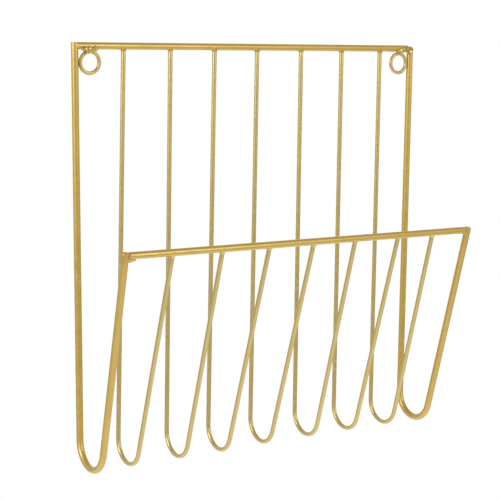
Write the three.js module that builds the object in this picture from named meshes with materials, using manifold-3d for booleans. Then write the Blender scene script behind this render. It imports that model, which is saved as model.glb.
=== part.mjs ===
// A wall rack for newspapers, bent and welded from round steel rod.
// Millimetres. +X is to the right seen from the front, +Y runs into the wall and +Z is up.
// The origin lies on the wall in the middle of the width, level with the centres of the two hanging rings.
import * as THREE from 'three';
import { mergeVertices } from 'three/addons/utils/BufferGeometryUtils.js';
import Module from 'manifold-3d';

const wasm = await Module();
wasm.setup();

// Driving dimensions
const width = 350; // over the outer faces of the side rods
const height = 350; // from the underside of the loops to the top of the top rail
const depth = 93; // from the wall to the front of the front rail
const frontHeight = 193; // from the underside of the loops to the top of the front rail
const rodDiameter = 6;
const wireDiameter = 4;
const rodBendRadius = 21; // centreline of a side rod's loop
const wireBendRadius = 18; // centreline of a wire's loop
const lastGap = 36; // last wire to right side rod, centre to centre
const ringHole = 14;
const ringWireDiameter = 3;
const clearance = 0.3; // left between two pieces that meet

// Bent and welded by hand: how far each rod stands to the right (+) of its even place at the top rail (top),
// in its loop (foot) and at the front rail (front), and how far its loop hangs above the lowest one (lift)
const sideRods = [
  { name: 'left', side: -1, top: 0, foot: 6, front: 0, lift: 0, topRise: 3, frontRise: 2 },
  { name: 'right', side: 1, top: -2, foot: 1, front: 0, lift: 1, topRise: 1.5, frontRise: 2.5 },
];
const wires = [
  { top: 0, foot: -2, front: -2, lift: 0 },
  { top: 0, foot: 1, front: 0, lift: 0 },
  { top: -1, foot: -1, front: 1, lift: 0 },
  { top: -2, foot: -1, front: 1, lift: 1 },
  { top: 0, foot: 3, front: 0, lift: 1 },
  { top: 0, foot: 3, front: 2, lift: 1 },
  { top: -1, foot: 2, front: -4, lift: 1 },
];

// Weld beads: half sizes of the lumps of filler, before they are cut back from what they join,
// and how far a lump's middle stands in from a side rod and below a rail, surface to middle
const collar = { proud: 0.9, halfHeight: 1.9 };
const cornerBead = { inward: 1.2, below: 1.2, halfSize: 2.9 };
const ringBead = { halfDepth: 2.4, halfHeight: 2.3 };
const frontBeads = [
  { inward: 3.6, below: 0.2, halfSizes: [4.6, 2.9, 3.7] },
  { inward: 1.6, below: 0, halfSizes: [3, 2.8, 2.8] },
];

// Facets
const rodSides = 16;
const wireSides = 12;
const bendSteps = 14;
const ringSides = 10;
const ringSteps = 32;
const beadSteps = 12;
const beadRows = 6;

// Derived places
const rodRadius = rodDiameter / 2;
const wireRadius = wireDiameter / 2;
const ringRadius = (ringHole + ringWireDiameter) / 2;
const ringReach = rodRadius + clearance + ringWireDiameter / 2 + ringRadius; // a rod's axis to a ring's centre
const sideX = width / 2 - rodRadius;
const wirePitch = (2 * sideX - lastGap) / wires.length;
const topZ = ringReach; // the top rail's axis
const backY = -rodRadius; // the axes of everything that lies along the wall
const undersideZ = topZ + rodRadius - height;
const frontY = rodRadius - depth; // the front rail's axis
const frontZ = undersideZ + frontHeight - rodRadius;
const ringBeadHalf = ringReach - rodRadius - cornerBead.inward - cornerBead.halfSize - clearance;

const gold = { color: 0xc7a653, roughness: 0.38, metalness: 0.75 };
const weldGold = { color: 0xcbac55, roughness: 0.3, metalness: 0.75 };

// The centreline of a rod bent like a J: straight down the back, round the loop, and up to the front rail.
// The section stands once at each end of a straight leg and bendSteps times in the loop.
class BentRod extends THREE.Curve {
  constructor({ radius, bendRadius, top, foot, front, lift, topEnd, frontRise }) {
    super();
    this.bendRadius = bendRadius;
    this.offsets = { top, foot };
    this.centre = new THREE.Vector2(backY - bendRadius, undersideZ + radius + bendRadius + lift);
    const toRail = new THREE.Vector2(frontY, frontZ).sub(this.centre);
    this.sweep = toRail.angle() + Math.acos(bendRadius / toRail.length()) - 2 * Math.PI;
    this.top = new THREE.Vector3(this.backOffset(topEnd), backY, topEnd);
    this.end = new THREE.Vector3(front, frontY, frontZ);
    this.end.addScaledVector(this.legDirection(), frontRise);
  }

  // How far the back leg stands to the right of its even place at a height
  backOffset(z) {
    const { top, foot } = this.offsets;
    return top + ((foot - top) * (topZ - z)) / (topZ - this.centre.y);
  }

  inLoop(share) {
    const angle = this.sweep * share;
    const y = this.centre.x + this.bendRadius * Math.cos(angle);
    const z = this.centre.y + this.bendRadius * Math.sin(angle);
    return new THREE.Vector3(this.offsets.foot, y, z);
  }

  legDirection() {
    return this.end.clone().sub(this.inLoop(1)).normalize();
  }

  getPoint(t, target = new THREE.Vector3()) {
    const step = t * (bendSteps + 2);
    if (step < 1) return target.lerpVectors(this.top, this.inLoop(0), step);
    if (step > bendSteps + 1) return target.lerpVectors(this.inLoop(1), this.end, step - bendSteps - 1);
    return target.copy(this.inLoop((step - 1) / bendSteps));
  }

  getUtoTmapping(u) {
    return u;
  }
}

// A regular polygon whose flats touch a circle of this radius, so that flats face the wall and the floor.
function section(radius, sides) {
  const corner = radius / Math.cos(Math.PI / sides);
  const points = [];
  for (let i = 0; i < sides; i += 1) {
    const angle = ((i + 0.5) * 2 * Math.PI) / sides;
    points.push(new THREE.Vector2(corner * Math.cos(angle), corner * Math.sin(angle)));
  }
  return new THREE.Shape(points);
}

function bentRodGeometry(path, radius, sides) {
  const options = { steps: bendSteps + 2, extrudePath: path, bevelEnabled: false };
  return new THREE.ExtrudeGeometry(section(radius, sides), options);
}

function railGeometry(length, radius) {
  const corner = radius / Math.cos(Math.PI / rodSides);
  const bar = new THREE.CylinderGeometry(corner, corner, length, rodSides, 1, false, Math.PI / rodSides);
  return bar.rotateZ(Math.PI / 2);
}

function ringGeometry(wire) {
  return new THREE.TorusGeometry(ringRadius, wire / 2, ringSides, ringSteps).rotateX(Math.PI / 2);
}

function toSolid(geometry) {
  const bare = geometry.clone();
  bare.deleteAttribute('normal');
  bare.deleteAttribute('uv');
  const merged = mergeVertices(bare, 1e-4);
  const mesh = new wasm.Mesh({
    numProp: 3,
    vertProperties: new Float32Array(merged.attributes.position.array),
    triVerts: new Uint32Array(merged.index.array),
  });
  return new wasm.Manifold(mesh);
}

function toGeometry(solid) {
  const { vertProperties, triVerts } = solid.getMesh();
  const geometry = new THREE.BufferGeometry();
  geometry.setAttribute('position', new THREE.BufferAttribute(vertProperties, 3));
  geometry.setIndex(new THREE.BufferAttribute(triVerts, 1));
  geometry.computeVertexNormals();
  return geometry;
}

// A lump of filler, cut back by a clearance from every piece that it touches.
function beadGeometry(centre, halfSizes, neighbours, tilt = 0) {
  const lump = new THREE.SphereGeometry(1, beadSteps, beadRows);
  lump.scale(...halfSizes).rotateX(tilt).translate(...centre);
  const cut = neighbours.reduce((solid, neighbour) => solid.subtract(neighbour), toSolid(lump));
  return toGeometry(cut);
}

const rack = new THREE.Group();

function add(name, geometry, finish, position = [0, 0, 0]) {
  const mesh = new THREE.Mesh(geometry, new THREE.MeshStandardMaterial(finish));
  mesh.name = name;
  mesh.position.set(...position);
  rack.add(mesh);
}

// Every rod and wire of the rack, with its own thickness, loop and place across the width
const bentPieces = [
  ...sideRods.map((rod) => ({
    ...rod,
    node: `side_rod_${rod.name}`,
    x: rod.side * sideX,
    radius: rodRadius,
    sides: rodSides,
    bendRadius: rodBendRadius,
    topEnd: topZ + rod.topRise,
  })),
  ...wires.map((wire, i) => ({
    ...wire,
    node: `wire_${i + 1}`,
    number: i + 1,
    x: (i + 1) * wirePitch - sideX,
    radius: wireRadius,
    sides: wireSides,
    bendRadius: wireBendRadius,
    topEnd: topZ - rodRadius - clearance,
    frontRise: -rodRadius - clearance,
  })),
];

for (const piece of bentPieces) {
  piece.path = new BentRod(piece);
  add(piece.node, bentRodGeometry(piece.path, piece.radius, piece.sides), gold, [piece.x, 0, 0]);
}

// Where the side rods' axes cross the two rails' heights, left and right
const topAxes = bentPieces.slice(0, 2).map((rod) => rod.x + rod.path.backOffset(topZ));
const frontAxes = bentPieces.slice(0, 2).map((rod) => rod.x + rod.front);

// A rail's length and middle, from one side rod to the other
function railBetween([left, right], gap) {
  return { length: right - left - 2 * gap, middle: (left + right) / 2 };
}

const topRail = railBetween(topAxes, rodRadius + clearance);
const frontRail = railBetween(frontAxes, rodRadius + clearance);
add('top_rail', railGeometry(topRail.length, rodRadius), gold, [topRail.middle, backY, topZ]);
add('front_rail', railGeometry(frontRail.length, rodRadius), gold, [frontRail.middle, frontY, frontZ]);

// The rings' centres: each ring lies against its side rod and under the top rail
const ringPlaces = sideRods.map(({ side }, i) => {
  const rod = bentPieces[i];
  return [rod.x + rod.path.backOffset(0) - side * ringReach, backY, 0];
});
sideRods.forEach(({ name }, i) => {
  add(`hanging_ring_${name}`, ringGeometry(ringWireDiameter), gold, ringPlaces[i]);
});

// The same pieces grown by the clearance, which cut the beads back
function grownRail(axes, y, z) {
  const { length, middle } = railBetween(axes, 0);
  return toSolid(railGeometry(length, rodRadius + clearance).translate(middle, y, z));
}

const grownTopRail = grownRail(topAxes, backY, topZ);
const grownFrontRail = grownRail(frontAxes, frontY, frontZ);

function grownPiece(piece) {
  const path = new BentRod({ ...piece, topEnd: topZ + rodRadius, frontRise: rodRadius });
  const geometry = bentRodGeometry(path, piece.radius + clearance, piece.sides);
  return toSolid(geometry.translate(piece.x, 0, 0));
}

function grownRing(place) {
  return toSolid(ringGeometry(ringWireDiameter + 2 * clearance).translate(...place));
}

for (const piece of bentPieces.slice(sideRods.length)) {
  const half = piece.radius + collar.proud;
  const halfSizes = [half, half, collar.halfHeight];
  const grown = grownPiece(piece);
  const top = [piece.x + piece.path.backOffset(topZ), backY, topZ - rodRadius];
  add(`top_weld_${piece.number}`, beadGeometry(top, halfSizes, [grown, grownTopRail]), weldGold);
  const lean = piece.path.legDirection();
  const end = new THREE.Vector3(piece.x + piece.front, frontY, frontZ).addScaledVector(lean, -rodRadius);
  const tilt = Math.atan2(-lean.y, lean.z);
  const bead = beadGeometry(end.toArray(), halfSizes, [grown, grownFrontRail], tilt);
  add(`front_weld_${piece.number}`, bead, weldGold);
}

sideRods.forEach(({ name, side }, i) => {
  const rod = grownPiece(bentPieces[i]);
  const ring = grownRing(ringPlaces[i]);
  const inside = (axis, bead) => axis - side * (rodRadius + bead.inward);

  const corner = [inside(topAxes[i], cornerBead), backY, topZ - rodRadius - cornerBead.below];
  const cornerHalf = Array(3).fill(cornerBead.halfSize);
  const inCorner = beadGeometry(corner, cornerHalf, [rod, grownTopRail, ring]);
  add(`corner_weld_top_${name}`, inCorner, weldGold);

  const overRing = [ringPlaces[i][0], backY, topZ - rodRadius];
  const ringHalf = [ringBeadHalf, ringBead.halfDepth, ringBead.halfHeight];
  add(`ring_weld_${name}`, beadGeometry(overRing, ringHalf, [grownTopRail, ring]), weldGold);

  const front = frontBeads[i];
  const under = [inside(frontAxes[i], front), frontY, frontZ - rodRadius - front.below];
  const inFront = beadGeometry(under, front.halfSizes, [rod, grownFrontRail]);
  add(`corner_weld_front_${name}`, inFront, weldGold);
});

export default rack;
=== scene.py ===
# A gold wall rack for newspapers: bent rods and wires, welded to two rails and two hanging rings.
# Metres throughout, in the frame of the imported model: the wall is y = 0, the rings' centres are at z = 0.
import bpy
import numpy as np
from mathutils import Matrix, Vector


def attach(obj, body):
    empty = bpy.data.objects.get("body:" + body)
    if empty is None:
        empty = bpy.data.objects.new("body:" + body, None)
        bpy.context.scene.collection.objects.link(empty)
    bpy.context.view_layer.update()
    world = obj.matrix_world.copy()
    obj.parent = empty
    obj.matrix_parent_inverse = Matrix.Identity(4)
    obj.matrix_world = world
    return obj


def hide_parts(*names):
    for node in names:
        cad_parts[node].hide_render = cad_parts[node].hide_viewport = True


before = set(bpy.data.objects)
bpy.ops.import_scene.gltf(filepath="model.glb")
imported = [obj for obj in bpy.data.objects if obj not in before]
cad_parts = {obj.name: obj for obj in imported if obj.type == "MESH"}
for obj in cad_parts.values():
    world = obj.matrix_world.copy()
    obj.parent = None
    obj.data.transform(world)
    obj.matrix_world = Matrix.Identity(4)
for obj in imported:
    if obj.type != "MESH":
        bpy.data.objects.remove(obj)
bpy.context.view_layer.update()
mm = 0.001


def addObject(name, data):
    made = bpy.data.objects.new(name, data)
    bpy.context.scene.collection.objects.link(made)
    return made


# Standing at place, looking along -Z towards aim, with Y upwards
def aimed(place, aim):
    towards = Vector(aim) - Vector(place)
    return Matrix.Translation(place) @ towards.to_track_quat("-Z", "Y").to_matrix().to_4x4()


# Camera

camera = {
    "place": (-0.71447, -1.08776, 0.03628),
    "aim": (-0.02074, -0.03284, -0.15696),
    "roll": 1.185,  # degrees round its own line of sight
    "lens": 108.16,
    "sensor": 36.0,
    "clip": (0.05, 60.0),
}


def makeCamera():
    data = bpy.data.cameras.new("camera")
    data.lens = camera["lens"]
    data.sensor_width = camera["sensor"]
    data.clip_start, data.clip_end = camera["clip"]
    made = addObject("camera", data)
    roll = Matrix.Rotation(np.radians(camera["roll"]), 4, "Z")
    made.matrix_world = aimed(camera["place"], camera["aim"]) @ roll
    bpy.context.scene.camera = made


makeCamera()
print("camera ready")


# Shader maths: a signal is one socket, and an expression on signals adds its own Math nodes

class Signal:
    def __init__(self, shader, socket):
        self.shader = shader
        self.socket = socket

    def __add__(self, other):
        return self.shader.maths("ADD", self, other)

    def __sub__(self, other):
        return self.shader.maths("SUBTRACT", self, other)

    def __rsub__(self, other):
        return self.shader.maths("SUBTRACT", other, self)

    def __mul__(self, other):
        return self.shader.maths("MULTIPLY", self, other)

    __radd__ = __add__
    __rmul__ = __mul__


class Shader:
    def __init__(self, owner):
        owner.use_nodes = True
        self.tree = owner.node_tree
        self.tree.nodes.clear()

    # Settings are set first, because they decide which sockets there are; then values and links
    def node(self, kind, settings=None, inputs=None, output=0):
        made = self.tree.nodes.new(kind)
        for name, value in (settings or {}).items():
            setattr(made, name, value)
        for name, value in (inputs or {}).items():
            if isinstance(value, Signal):
                self.tree.links.new(value.socket, made.inputs[name])
            else:
                made.inputs[name].default_value = value
        return Signal(self, made.outputs[output]) if len(made.outputs) else None

    def maths(self, operation, first, second):
        return self.node("ShaderNodeMath", {"operation": operation}, {0: first, 1: second})

    # Carries low to toLow and high to toHigh, smoothly between them and level beyond
    def remap(self, value, low, high, toLow=0.0, toHigh=1.0):
        inputs = {"Value": value, 1: low, 2: high, 3: toLow, 4: toHigh}
        return self.node("ShaderNodeMapRange", {"interpolation_type": "SMOOTHSTEP"}, inputs)

    # Mix has several sockets of the same name, so its colour sockets go by their numbers
    def blend(self, factor, first, second):
        return self.node("ShaderNodeMix", {"data_type": "RGBA"}, {0: factor, 6: first, 7: second}, 2)


# Finishes: gold lacquer on steel, with a soft mottle, streaks, orange peel and a few pits. Each finish takes
# the rods' values and changes its own: the wires are paler and glossier, and the welds are glossier still,
# rougher in their peel and darker at their rims, partly a burnt tint and partly painted shade in the creases

rodLacquer = {
    "deep": (0.670, 0.448, 0.088, 1.0),
    "light": (0.714, 0.489, 0.109, 1.0),
    "pit": (0.200, 0.120, 0.030, 1.0),
    # the colour that weld rims darken towards: a burnt tint and painted shade in the creases where welds meet
    # rods
    "burnt": (0.330, 0.190, 0.045, 1.0),
    "metallic": 0.85,
    "roughness": 0.38,
    "roughnessSpread": (-0.05, 0.06),  # added as the streaks go through streakRange
    "streakRange": (0.3, 0.7),
    "coat": 0.9,
    "coatRoughness": 0.11,
    "coatIndex": 1.5,
    "mottle": {"Scale": 42.0, "Detail": 3.0, "Roughness": 0.55},
    "streak": {"Scale": 260.0, "Detail": 2.0},
    "peel": {"Scale": 950.0, "Detail": 1.5},
    "cells": {"Scale": 420.0},
    "streakShare": 0.3,  # the rest of the tone is mottle, and the rest of the height is peel
    "toneRange": (0.36, 0.64),
    "peelHeight": 0.006 * mm,
    "pitSize": (0.05, 0.16),  # where a pit starts to fade and is gone, as shares of a cell
    "pitPatches": (0.55, 0.62),  # pits lie only where the mottle is above these
    "pitShare": 0.4,
    "pitDepth": 1.5,
    "pitRoughness": 0.3,
    # how far the rims darken: a burnt tint and painted crease shade
    "rimBurnAndShade": 0.0,
}

wireLacquer = {
    **rodLacquer,
    "deep": (0.661, 0.495, 0.160, 1.0),
    "light": (0.701, 0.530, 0.182, 1.0),
    "roughness": 0.31,
}

weldLacquer = {
    **rodLacquer,
    "deep": (0.615, 0.428, 0.100, 1.0),
    "light": (0.765, 0.553, 0.172, 1.0),
    "roughness": 0.22,
    "peelHeight": 0.015 * mm,
    "pitShare": 0.8,
    "rimBurnAndShade": 0.5,
}


def makeGold(name, settings):
    made = bpy.data.materials.new(name)
    shader = Shader(made)
    place = shader.node("ShaderNodeTexCoord", output="Object")
    mottle, streak, peel = (
        shader.node("ShaderNodeTexNoise", inputs={"Vector": place, **settings[layer]})
        for layer in ("mottle", "streak", "peel"))
    cells = shader.node("ShaderNodeTexVoronoi", inputs={"Vector": place, **settings["cells"]})
    pits = shader.remap(cells, *settings["pitSize"], 1.0, 0.0) * shader.remap(mottle, *settings["pitPatches"])
    pits = pits * settings["pitShare"]
    streakShare = settings["streakShare"]
    tone = shader.remap(mottle * (1 - streakShare) + streak * streakShare, *settings["toneRange"])
    colour = shader.blend(tone, settings["deep"], settings["light"])
    rim = shader.node("ShaderNodeAttribute", {"attribute_name": "rim"}, output="Fac")
    # Rims darken towards this colour: partly heat tint, partly painted shade in the crease where a weld meets
    # a rod or rail
    colour = shader.blend(rim * settings["rimBurnAndShade"], colour, settings["burnt"])
    colour = shader.blend(pits, colour, settings["pit"])
    height = peel * (1 - streakShare) + streak * streakShare - pits * settings["pitDepth"]
    bump = shader.node("ShaderNodeBump", inputs={
        "Height": height, "Strength": 1.0, "Distance": settings["peelHeight"]})
    roughnesses = (settings["roughness"] + spread for spread in settings["roughnessSpread"])
    rough = shader.remap(streak, *settings["streakRange"], *roughnesses) + pits * settings["pitRoughness"]
    surface = shader.node("ShaderNodeBsdfPrincipled", inputs={
        "Base Color": colour,
        "Metallic": settings["metallic"],
        "Roughness": rough,
        "Normal": bump,
        "Coat Weight": settings["coat"],
        "Coat Roughness": settings["coatRoughness"],
        "Coat IOR": settings["coatIndex"],
    })
    shader.node("ShaderNodeOutputMaterial", inputs={"Surface": surface})
    return made


finishes = {
    "gold_rod": makeGold("rodGold", rodLacquer),
    "gold_wire": makeGold("wireGold", wireLacquer),
    "gold_weld": makeGold("weldGold", weldLacquer),
}
print("materials ready")


# Surfaces on a grid

cutEnd = {"steps": 7, "flatShare": 0.6}  # rows round an end's edge, and where its flat has a ring of its own
wavy = {"count": 9, "pace": (0.6, 1.5), "gain": 2.2}


# Vectors, each divided by its own length
def unit(vectors):
    return vectors / np.linalg.norm(vectors, axis=-1, keepdims=True)


# Corner numbers of the quads between neighbouring rows and columns. Columns always close round, rows only
# where the surface is a ring
def gridQuads(rows, columns, ringed):
    i, j = np.meshgrid(np.arange(rows if ringed else rows - 1), np.arange(columns), indexing="ij")
    nextRow, nextColumn = (i + 1) % rows, (j + 1) % columns
    corners = ((i, j), (i, nextColumn), (nextRow, nextColumn), (nextRow, j))
    return np.stack([row * columns + column for row, column in corners], -1).reshape(-1, 4)


# A node's name in camelCase
def pieceName(node):
    first, *others = node.split("_")
    return first + "".join(word.title() for word in others)


# A closed surface from points[row, column], in its slot's finish, which stands for a CAD node. Unless it is
# a ring, its first and last rows are drawn together into one point each, which closes both ends
def makePiece(node, slot, points, ringed=False, rim=None):
    rows, columns = points.shape[:2]
    if ringed:
        vertices, faces = points.reshape(-1, 3), gridQuads(rows, columns, True).tolist()
    else:
        inner = points[1:-1].reshape(-1, 3)
        vertices = np.vstack([inner, points[[0, -1]].mean(1)])
        here = np.arange(columns)
        after = (here + 1) % columns
        lastRow = (rows - 3) * columns
        firstFan = np.stack([np.full(columns, len(inner)), after, here], -1)
        lastFan = np.stack([np.full(columns, len(inner) + 1), lastRow + here, lastRow + after], -1)
        faces = gridQuads(rows - 2, columns, False).tolist() + firstFan.tolist() + lastFan.tolist()
    mesh = bpy.data.meshes.new(pieceName(node))
    mesh.from_pydata(vertices.tolist(), [], faces)
    mesh.polygons.foreach_set("use_smooth", np.ones(len(mesh.polygons), bool))
    if rim is not None:
        values = np.concatenate([np.repeat(rim[1:-1], columns), rim[[0, -1]]]).astype(np.float32)
        mesh.attributes.new("rim", "FLOAT", "POINT").data.foreach_set("value", values)
    mesh.materials.append(finishes[slot])
    mesh.update()
    made = addObject(pieceName(node), mesh)
    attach(made, "root")
    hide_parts(node)


# Circles carried along a path: centre + radius (cos a side + sin a up), with up = direction x side, and
# side squared up to the direction first
def carried(centres, directions, radii, side, columns):
    angle = np.arange(columns) * 2 * np.pi / columns
    forward = unit(directions)
    side = np.asarray(side, float)
    side = unit(side - (forward @ side)[:, None] * forward)
    up = np.cross(forward, side)
    ring = np.cos(angle)[:, None] * side[:, None] + np.sin(angle)[:, None] * up[:, None]
    return centres[:, None] + radii[:, None, None] * ring


# The profile of a cut end with its edge rounded off, as each row's distance from the end and its radius:
# from the middle of the flat out to the edge, and round a quarter circle
def endProfile(radius, rounding):
    turn = np.linspace(0, np.pi / 2, cutEnd["steps"])
    flat = radius - rounding
    inset = np.concatenate([[0, 0], rounding * (1 - np.cos(turn))])
    reach = np.concatenate([[0, cutEnd["flatShare"] * flat], flat + rounding * np.sin(turn)])
    return inset, reach


# A wavy field from about -1 to 1: the mean of sines along seeded directions, at seeded paces and phases,
# times a gain
def waves(points, scale, seed):
    random = np.random.default_rng(seed)
    count = wavy["count"]
    directions = unit(random.normal(size=(count, 3))) * random.uniform(*wavy["pace"], (count, 1)) / scale
    phases = random.uniform(0, 2 * np.pi, count)
    return np.sin(points @ directions.T + phases).mean(-1) * wavy["gain"]


# Rods and wires, bent like a J: down the back, round the loop and up to the front rail

rack = {
    "sideX": 172 * mm,  # half the distance between the side rods' even places
    "backY": -3 * mm,
    "topZ": 13.3 * mm,  # axis of the top rail
    "frontY": -90 * mm,
    "frontZ": -143.7 * mm,  # axis of the front rail
    "wirePitch": 44 * mm,
    # rows of circles along each stretch of a rod or wire
    "backRows": 30,
    "loopRows": 61,
    "legRows": 20,
}

# bent holds top, foot, front and lift in millimetres: how far each bent piece stands to the right of its
# even place at the top rail, in its loop and at the front rail, and how far its loop hangs above the lowest.
# ends are the height of its top end, and how far its other end runs past the front rail's axis
rod = {
    "radius": 2.95 * mm,
    "bend": 21 * mm,
    "loopZ": -309.7 * mm,
    "columns": 40,
    "left": {"x": -rack["sideX"], "bent": (0, 6, 0, 0), "ends": (16.25, 2.8), "rounds": (0.45, 1.2)},
    "right": {"x": rack["sideX"], "bent": (-2, 1, 0, 1), "ends": (15.2, 2.5), "rounds": (2.2, 0.9)},
}

wire = {
    "radius": 1.96 * mm,
    "bend": 18 * mm,
    "loopZ": -313.7 * mm,
    "columns": 28,
    "intoRail": 1.2 * mm,  # a wire's end is sunk this far beyond the rail's near face
    "rounding": 0.3 * mm,
    "bent": (
        (0, -2, -2, 0), (0, 1, 0, 0), (-1, -1, 1, 0), (-2, -1, 1, 1),
        (0, 3, 0, 1), (0, 3, 2, 1), (-1, 2, -4, 1)),
}


# How far a bent piece stands to the right at height z: a straight line through top, at the top rail, and
# foot, at the loop's middle
def leanAt(z, bent, loopZ):
    top, foot, _, lift = np.array(bent) * mm
    return top + (foot - top) * (rack["topZ"] - z) / (rack["topZ"] - loopZ - lift)


# The centreline runs straight down from the top end, turns through the loop at radius bend until it points
# at the front rail's axis, and runs straight there. Circles are carried along it, with endProfile at both
# ends
def bentRod(settings, x, bent, ends, rounds):
    radius, bend, loopZ = settings["radius"], settings["bend"], settings["loopZ"]
    _, foot, front, lift = np.array(bent) * mm
    loopY, liftedZ = rack["backY"] - bend, loopZ + lift
    toRail = np.array([rack["frontY"] - loopY, rack["frontZ"] - liftedZ])
    sweep = np.arctan2(toRail[1], toRail[0]) + np.arccos(bend / np.linalg.norm(toRail)) - 2 * np.pi
    turn = np.linspace(0, sweep, rack["loopRows"])
    y, z = loopY + bend * np.cos(turn), liftedZ + bend * np.sin(turn)
    loop = np.stack([np.full_like(turn, x + foot), y, z], -1)
    turning = np.stack([np.zeros_like(turn), np.sin(turn), -np.cos(turn)], -1)
    start = np.array([x + leanAt(ends[0], bent, loopZ), rack["backY"], ends[0]])
    rail = np.array([x + front, rack["frontY"], rack["frontZ"]])
    down, up = unit(loop[0] - start), unit(rail - loop[-1])
    inset, reach = endProfile(radius, rounds[0])
    endInset, endReach = endProfile(radius, rounds[1])
    top = start + inset[:, None] * down
    end = (rail + (ends[1] - endInset[:, None]) * up)[::-1]
    back = np.linspace(top[-1], loop[0], rack["backRows"])[1:-1]
    leg = np.linspace(loop[-1], end[0], rack["legRows"])[1:-1]
    centres = np.vstack([top, back, loop, leg, end])
    downs = np.tile(down, (len(top) + len(back), 1))
    ups = np.tile(up, (len(leg) + len(end), 1))
    radii = np.concatenate([reach, np.full(len(back) + len(loop) + len(leg), radius), endReach[::-1]])
    return carried(centres, np.vstack([downs, turning, ups]), radii, (1, 0, 0), settings["columns"])


for side in ("left", "right"):
    own = rod[side]
    ends, rounds = np.array(own["ends"]) * mm, np.array(own["rounds"]) * mm
    makePiece("side_rod_" + side, "gold_rod", bentRod(rod, own["x"], own["bent"], ends, rounds))

sunk = rod["radius"] - wire["intoRail"]
wireX = [(number + 1) * rack["wirePitch"] - rack["sideX"] for number in range(len(wire["bent"]))]
for number, (x, bent) in enumerate(zip(wireX, wire["bent"]), 1):
    surface = bentRod(wire, x, bent, (rack["topZ"] - sunk, -sunk), (wire["rounding"], wire["rounding"]))
    makePiece(f"wire_{number}", "gold_wire", surface)
print("rods and wires ready")


# Rails: straight bars between the side rods, each end rounded over by its own amount

rails = {
    "radius": 2.95 * mm,
    "rows": 42,
    "columns": 40,
    "top": {
        "y": rack["backY"], "z": rack["topZ"],
        "ends": (-171.6 * mm, 167.8 * mm), "rounds": (0.3 * mm, 1.4 * mm)},
    "front": {
        "y": rack["frontY"], "z": rack["frontZ"],
        "ends": (-170.4 * mm, 169.6 * mm), "rounds": (2.2 * mm, 2.0 * mm)},
}


# A circle carried straight along x, with endProfile at both ends
def railSurface(y, z, ends, rounds):
    inset, reach = endProfile(rails["radius"], rounds[0])
    endInset, endReach = endProfile(rails["radius"], rounds[1])
    middle = np.linspace(ends[0] + inset[-1], ends[1] - endInset[-1], rails["rows"])[1:-1]
    x = np.concatenate([ends[0] + inset, middle, ends[1] - endInset[::-1]])
    centres = np.stack([x, np.full_like(x, y), np.full_like(x, z)], -1)
    radii = np.concatenate([reach, np.full_like(middle, rails["radius"]), endReach[::-1]])
    return carried(centres, np.tile((1.0, 0, 0), (len(x), 1)), radii, (0, -1, 0), rails["columns"])


for side in ("top", "front"):
    makePiece(side + "_rail", "gold_rod", railSurface(**rails[side]))


# Hanging rings: bent from wire, standing in one plane with the back of the rack

rings = {
    "bend": 8.6 * mm,
    "radius": 1.58 * mm,
    "outOfRound": 0.008,
    "rows": 96,
    "columns": 24,
    "left": {"x": -158.45 * mm, "phase": 0.4},
    "right": {"x": 156.82 * mm, "phase": 1.9},
}


# A circle carried round a larger one in the plane y = backY, whose radius is
# bend (1 + outOfRound sin(2 angle + phase) - outOfRound)
def ringSurface(x, phase):
    angle = np.arange(rings["rows"]) * 2 * np.pi / rings["rows"]
    bend = rings["bend"] * (1 + rings["outOfRound"] * np.sin(2 * angle + phase) - rings["outOfRound"])
    y = np.full_like(angle, rack["backY"])
    centres = np.stack([x + bend * np.sin(angle), y, bend * np.cos(angle)], -1)
    directions = np.roll(centres, -1, 0) - np.roll(centres, 1, 0)
    return carried(centres, directions, np.full_like(angle, rings["radius"]), (0, 1, 0), rings["columns"])


for side in ("left", "right"):
    makePiece("hanging_ring_" + side, "gold_wire", ringSurface(**rings[side]), ringed=True)
print("rails and rings ready")


# Welds where the wires meet the rails: the wire's end has run up over the rail's face

tongue = {
    "below": 1.4 * mm,  # how far it starts before the rail's near face
    "slant": 0.15,  # how uneven that start is round the wire, as a share of below
    "slantPhase": (0, 6),
    "sideHalf": 2.12 * mm,
    "sideSpread": (-0.06, 0.1),  # shares of sideHalf, from one weld to another
    "faceHalf": 3.12 * mm,
    "backHalf": 2.97 * mm,  # it stays in front of the wall plane
    "over": 1.5 * mm,  # how far past the rail's axis it runs up the rail's face
    "overFrom": 0.75,  # sin a from which it does so
    "overPower": 0.7,
    "above": 0.34 * mm,  # how far it stands out of the face there
    "widening": 1.15,
    "swell": 0.16 * mm,
    "swellAtSides": 0.4,
    "swellPower": 1.5,
    "unevenness": 0.09 * mm,
    "grain": 1.1 * mm,
    "closing": (0.9, 0.7),  # shares of its width that are left where its bottom and its lid close it
    # rim darkening near the rail: partly a burnt tint, partly painted shade in the crease
    "rim": 0.35,
    "rimPower": 6,
    "rows": 22,
    "columns": 40,
    # lean is the wire's direction into the rail, as y and z
    "top": {"lean": (0.0, 1.0), "firstSeed": 20},
    "front": {"lean": (-0.2834, 0.9590), "firstSeed": 40},
}
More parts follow.
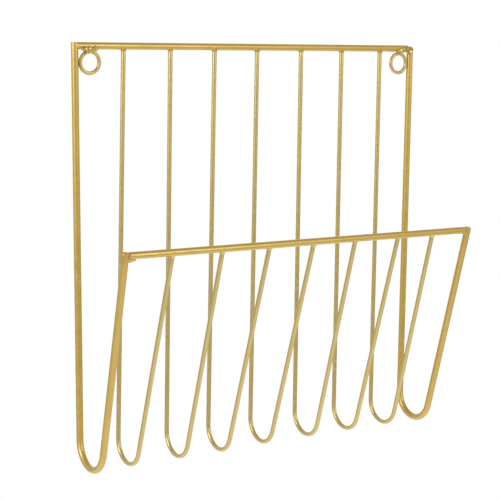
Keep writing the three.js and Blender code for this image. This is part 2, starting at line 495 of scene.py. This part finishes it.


# In the joint's own axes (x along the rail, h along the wire into the rail, f across both, to the front):
# at an angle a round the wire the surface climbs from the wire to where an oval of half sizes sideHalf and
# faceHalf meets the rail, h = -sqrt(railRadius^2 - (oval sin a)^2), and widens on the way as t^widening, plus
# a swell sin(pi t). The rim, which darkens the weld with a burnt tint and painted crease shade, is strongest
# where it meets the rail, as t^rimPower
def tongueSurface(origin, lean, seed):
    random = np.random.default_rng(seed)
    a = np.arange(tongue["columns"]) * 2 * np.pi / tongue["columns"]
    t = np.linspace(0, 1, tongue["rows"])[:, None]
    railRadius, wireRadius = rod["radius"], wire["radius"]
    depthHalf = np.where(np.sin(a) > 0, tongue["faceHalf"], tongue["backHalf"])
    sideHalf = tongue["sideHalf"] * (1 + random.uniform(*tongue["sideSpread"]))
    oval = 1 / np.sqrt((np.cos(a) / sideHalf) ** 2 + (np.sin(a) / depthHalf) ** 2)
    across = np.minimum(np.abs(oval * np.sin(a)), railRadius)
    upFace = np.clip((np.sin(a) - tongue["overFrom"]) / (1 - tongue["overFrom"]), 0, 1) ** tongue["overPower"]
    meets = tongue["over"] * upFace - np.sqrt(railRadius ** 2 - across ** 2)
    depth = np.sqrt(railRadius ** 2 - np.minimum(np.abs(meets), railRadius) ** 2) + tongue["above"]
    faceSine = np.maximum(np.sin(a), 0.1)  # only used on the face, so the floor just keeps it from nothing
    oval = np.where(meets > 0, np.minimum(oval, depth / faceSine), oval)
    slant = tongue["slant"] * np.sin(a + random.uniform(*tongue["slantPhase"]))
    start = -(railRadius + tongue["below"] * (1 + slant))
    h = start + (meets - start) * t
    reach = wireRadius + (oval - wireRadius) * t ** tongue["widening"]
    towardsFace = np.abs(np.sin(a)) ** tongue["swellPower"]
    swellShare = tongue["swellAtSides"] + (1 - tongue["swellAtSides"]) * towardsFace
    reach = reach + tongue["swell"] * np.sin(np.pi * t) * swellShare
    local = np.stack([reach * np.cos(a), reach * np.sin(a), h], -1)
    uneven = waves(local, tongue["grain"], seed) * tongue["unevenness"] * np.sin(np.pi * t)
    local[..., :2] *= (1 + uneven / reach)[..., None]
    bottomShare, lidShare = tongue["closing"]
    bottom, lid = local[:1] * (bottomShare, bottomShare, 1), local[-1:] * (lidShare, lidShare, 1)
    closed = np.concatenate([bottom * (0, 0, 1), bottom, local, lid, lid * (0, 0, 1)])
    along = np.array([0, lean[0], lean[1]])
    face = np.array([0, -lean[1], lean[0]])  # square to the wire, on its front side
    placed = closed[..., :1] * np.array([1.0, 0, 0]) + closed[..., 1:2] * face + closed[..., 2:] * along
    # the rim darkens the weld where it meets the rail: a burnt tint and painted crease shade
    rim = np.concatenate([[0, 0], tongue["rim"] * t[:, 0] ** tongue["rimPower"], [1, 1]])
    return (placed + origin)[:, ::-1], rim  # its columns are turned over, so that it faces outwards


for number, (x, bent) in enumerate(zip(wireX, wire["bent"]), 1):
    atTop, _, atFront, _ = np.array(bent) * mm
    for side, shift in (("top", atTop), ("front", atFront)):
        origin = np.array([x + shift, rails[side]["y"], rails[side]["z"]])
        seed = tongue[side]["firstSeed"] + number - 1
        surface, rim = tongueSurface(origin, tongue[side]["lean"], seed)
        makePiece(f"{side}_weld_{number}", "gold_weld", surface, rim=rim)
print("wire welds ready")


# Beads in the corners and over the rings: strings of lumps of filler, laid along the rail

beads = {
    "rows": 70,
    "columns": 36,
    "unevenness": 0.30 * mm,
    "grain": 1.3 * mm,
    "thinnest": 0.5 * mm,  # unevenness is a share of at least this radius
    "lumpShare": 0.82,
    "coreShare": 0.155,  # of the lumps' mean radius, everywhere along the string
    "endPower": 8,
    # the rim darkening, a burnt tint and painted shade where a bead meets the rods, gathers at its ends by
    # this power
    "rimPower": 5,
    "firstSeed": 70,
    # Each string: its path's points, and its lumps as (share along the path, radius, half length as a share)
    "strings": {
        "ring_weld_left": {
            "path": [(-165.8, -4.9, 9.8), (-160.2, -5.6, 10.6), (-152.0, -5.0, 11.4)],
            "lumps": [(0.06, 2.0, 0.10), (0.29, 3.2, 0.13), (0.56, 2.7, 0.10), (0.83, 3.0, 0.14)],
        },
        "ring_weld_right": {
            "path": [(153.4, -4.9, 11.4), (158.0, -5.4, 11.4), (163.4, -5.4, 12.6)],
            "lumps": [(0.14, 2.2, 0.14), (0.48, 3.0, 0.16), (0.84, 2.8, 0.16)],
        },
        "corner_weld_top_left": {
            "path": [(-169.4, -5.2, 13.0), (-168.2, -5.4, 11.6), (-165.6, -5.0, 10.8)],
            "lumps": [(0.15, 1.0, 0.25), (0.5, 1.4, 0.25), (0.85, 1.6, 0.24)],
        },
        "corner_weld_top_right": {
            "path": [(163.0, -5.6, 12.8), (166.4, -6.0, 12.0), (169.8, -5.9, 10.4)],
            "lumps": [(0.14, 2.8, 0.18), (0.46, 2.5, 0.14), (0.80, 3.6, 0.22)],
        },
        "corner_weld_front_left": {
            "path": [(-170.0, -90.0, -144.0), (-167.4, -89.7, -146.0), (-163.2, -90.0, -145.4)],
            "lumps": [(0.16, 2.8, 0.3), (0.5, 3.6, 0.38), (0.84, 2.6, 0.28)],
        },
        "corner_weld_front_right": {
            "path": [(165.4, -90.6, -146.0), (168.6, -90.9, -146.2), (169.9, -90.8, -144.4)],
            "lumps": [(0.15, 1.2, 0.3), (0.55, 1.8, 0.35), (0.9, 1.9, 0.3)],
        },
    },
}


# A circle carried along a curve through three points (a quadratic in t). Each lump is a bell
# radius exp(-((t - place) / half length)^2); the circle's radius is lumpShare of the cube root of the sum of
# their cubes, plus coreShare of their mean, drawn in at both ends by sqrt(1 - (2t - 1)^endPower), and uneven
def beadSurface(path, lumps, seed):
    points = np.array(path) * mm
    places, heights, halves = np.array(lumps).T
    t = (1 - np.cos(np.linspace(0, np.pi, beads["rows"]))) / 2
    centres = np.stack([(1 - t) * (1 - 2 * t), 4 * t * (1 - t), t * (2 * t - 1)], -1) @ points
    slopes = np.stack([4 * t - 3, 4 - 8 * t, 4 * t - 1], -1) @ points
    bells = np.exp(-((t[:, None] - places) / halves) ** 2) * heights * mm
    radius = beads["lumpShare"] * (bells ** 3).sum(1) ** (1 / 3) + beads["coreShare"] * heights.mean() * mm
    radius = radius * np.sqrt(np.clip(1 - (2 * t - 1) ** beads["endPower"], 0, 1))
    radius[[0, -1]] = 0
    surface = carried(centres, slopes, radius, (0, 0, 1), beads["columns"])
    thickness = np.maximum(radius, beads["thinnest"])[:, None]
    uneven = 1 + waves(surface, beads["grain"], seed) * beads["unevenness"] / thickness
    surface = centres[:, None] + (surface - centres[:, None]) * uneven[..., None]
    # the rim is strongest at the bead's ends, where the weld darkens with a burnt tint and painted crease
    # shade
    return surface, np.abs(2 * t - 1) ** beads["rimPower"]


for number, (node, string) in enumerate(beads["strings"].items()):
    surface, rim = beadSurface(string["path"], string["lumps"], beads["firstSeed"] + number)
    makePiece(node, "gold_weld", surface, rim=rim)
print("corner welds ready")


# Studio: a pale floor, two soft boxes, and a room that is white where it is seen directly. Gloss sees a white
# sweep behind the rack, the floor, which is lit near the rack and dimmer further out, and the rest of the
# room, which is dimmer overhead and dimmest towards the camera

studio = {
    "floorZ": -0.72,
    "floorHalf": 6.0,
    "floorColour": (0.82, 0.82, 0.82, 1.0),
    "white": (1.0, 1.0, 1.0, 1.0),
    "shadowRadius": (0.35, 1.0),  # a white that hides shadows goes from floorWhite inside to 1 outside
    "floorWhite": 0.35,
    "litRadius": (0.5, 1.5),
    "nearFloor": 1.0,
    "farFloor": 0.52,
    "room": 0.66,
    "roomAbove": 0.42,
    "roomDark": 0.47,
    "ambient": 0.8,
    # Edges run from none to all of it, as cosines of the angle from its middle
    "aboveEdge": (0.45, 0.85),
    "darkTowards": (-0.36, -0.93, -0.05),
    "darkEdge": (0.93, 0.99),
    "sweepTowards": (0.55, 0.835, 0.0),
    "sweepEdge": (0.80, 0.95),
    "boxes": {
        "leftBox": {
            "place": (-1.86, -0.36, 0.50), "aim": (0.0, 0.0, -0.1),
            "width": 0.85, "height": 1.25, "watts": 11.5},
        "frontBox": {
            "place": (0.75, -1.78, 0.50), "aim": (0.0, 0.0, -0.1),
            "width": 0.55, "height": 1.20, "watts": 4.9},
    },
}


# Whether a ray comes straight from the camera, itself or through glass, and whether it comes from gloss
def rays(shader):
    names = ("Is Camera Ray", "Is Transmission Ray", "Is Glossy Ray")
    direct, through, glossy = (shader.node("ShaderNodeLightPath", output=name) for name in names)
    return shader.maths("MAXIMUM", direct, through), glossy


# How squarely a direction points towards another: their dot product
def facing(shader, direction, towards):
    inputs = {0: direction, 1: tuple(Vector(towards).normalized())}
    return shader.node("ShaderNodeVectorMath", {"operation": "DOT_PRODUCT"}, inputs, "Value")


def makeWorld():
    world = bpy.data.worlds.new("studio")
    bpy.context.scene.world = world
    shader = Shader(world)
    seen, glossy = rays(shader)
    direction = shader.node("ShaderNodeTexCoord", output="Generated")
    above = facing(shader, direction, (0, 0, 1))
    dark = facing(shader, direction, studio["darkTowards"])
    room = shader.remap(above, *studio["aboveEdge"], studio["room"], studio["roomAbove"])
    room = room - shader.remap(dark, *studio["darkEdge"], 0.0, studio["room"] - studio["roomDark"])
    sweep = shader.remap(facing(shader, direction, studio["sweepTowards"]), *studio["sweepEdge"])
    shown = room + (1 - room) * sweep
    strength = seen + (1 - seen) * (glossy * shown + (1 - glossy) * studio["ambient"])
    background = shader.node("ShaderNodeBackground", inputs={"Color": studio["white"], "Strength": strength})
    shader.node("ShaderNodeOutputWorld", inputs={"Surface": background})


# The floor takes shadows near the rack and fades to white further out
def makeFloor():
    half, z = studio["floorHalf"], studio["floorZ"]
    mesh = bpy.data.meshes.new("floor")
    corners = [(-half, -half, z), (half, -half, z), (half, half, z), (-half, half, z)]
    mesh.from_pydata(corners, [], [(0, 1, 2, 3)])
    finish = bpy.data.materials.new("paleFloor")
    shader = Shader(finish)
    seen, glossy = rays(shader)
    place = shader.node("ShaderNodeTexCoord", output="Object")
    flat = shader.node("ShaderNodeVectorMath", {"operation": "MULTIPLY"}, {0: place, 1: (1, 1, 0)})
    away = shader.node("ShaderNodeVectorMath", {"operation": "LENGTH"}, {0: flat}, "Value")
    outward = shader.node("ShaderNodeVectorMath", {"operation": "NORMALIZE"}, {0: flat})
    fade = shader.remap(away, *studio["shadowRadius"], studio["floorWhite"], 1.0)
    lit = shader.remap(away, *studio["litRadius"], studio["nearFloor"], studio["farFloor"])
    sweep = shader.remap(facing(shader, outward, studio["sweepTowards"]), *studio["sweepEdge"])
    strength = 1 - glossy + glossy * (lit + (1 - lit) * sweep)
    diffuse = shader.node("ShaderNodeBsdfDiffuse", inputs={"Color": studio["floorColour"]})
    glow = shader.node("ShaderNodeEmission", inputs={"Color": studio["white"], "Strength": strength})
    mixed = shader.node("ShaderNodeMixShader", inputs={0: seen * fade + glossy, 1: diffuse, 2: glow})
    shader.node("ShaderNodeOutputMaterial", inputs={"Surface": mixed})
    mesh.materials.append(finish)
    floor = addObject("floor", mesh)


def makeBox(name, place, aim, width, height, watts):
    data = bpy.data.lights.new(name, "AREA")
    data.shape = "RECTANGLE"
    data.size = width
    data.size_y = height
    data.energy = watts
    addObject(name, data).matrix_world = aimed(place, aim)


makeWorld()
makeFloor()
for name, settings in studio["boxes"].items():
    makeBox(name, **settings)
bpy.context.scene.view_settings.view_transform = "Standard"
print("studio ready")
